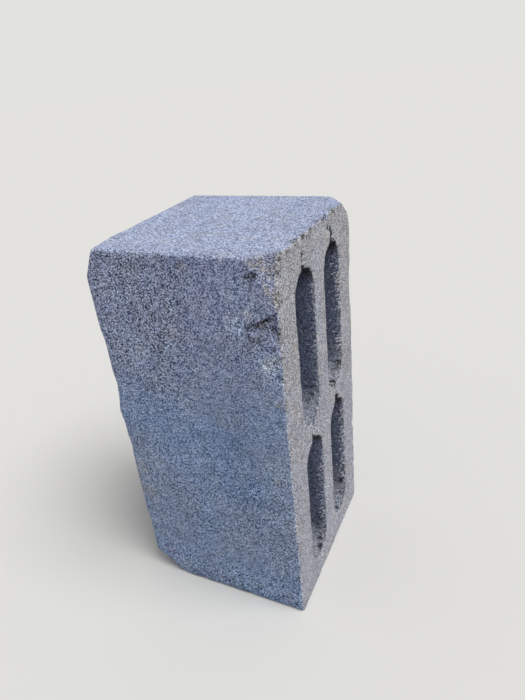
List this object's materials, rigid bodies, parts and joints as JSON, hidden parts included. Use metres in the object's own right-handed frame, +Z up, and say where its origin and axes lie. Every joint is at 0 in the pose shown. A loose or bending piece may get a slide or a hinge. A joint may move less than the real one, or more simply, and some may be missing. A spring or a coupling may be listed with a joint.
{
  "type": "hollow concrete block",
  "caption": "Grey vibro-pressed concrete wall block standing on its end, with blind round-ended slots in its open bed, worn arrises and four knocked corners.",
  "frame": {"origin": "centre of the lower end face, the face that the block stands on", "axes": "+Z up along the block's length, from the lower end to the upper end; +X out of the open bed, the face with the slots; -Y out of the front stretcher face, so +Y is out of the back one"},
  "size_m": [0.188, 0.19, 0.39],
  "materials": {
    "concrete": "open-grained vibro-pressed sand and cement concrete, matt, dry"
  },
  "bodies": {
    "root": {"hollow_block": "concrete"}
  },
  "joints": []
}
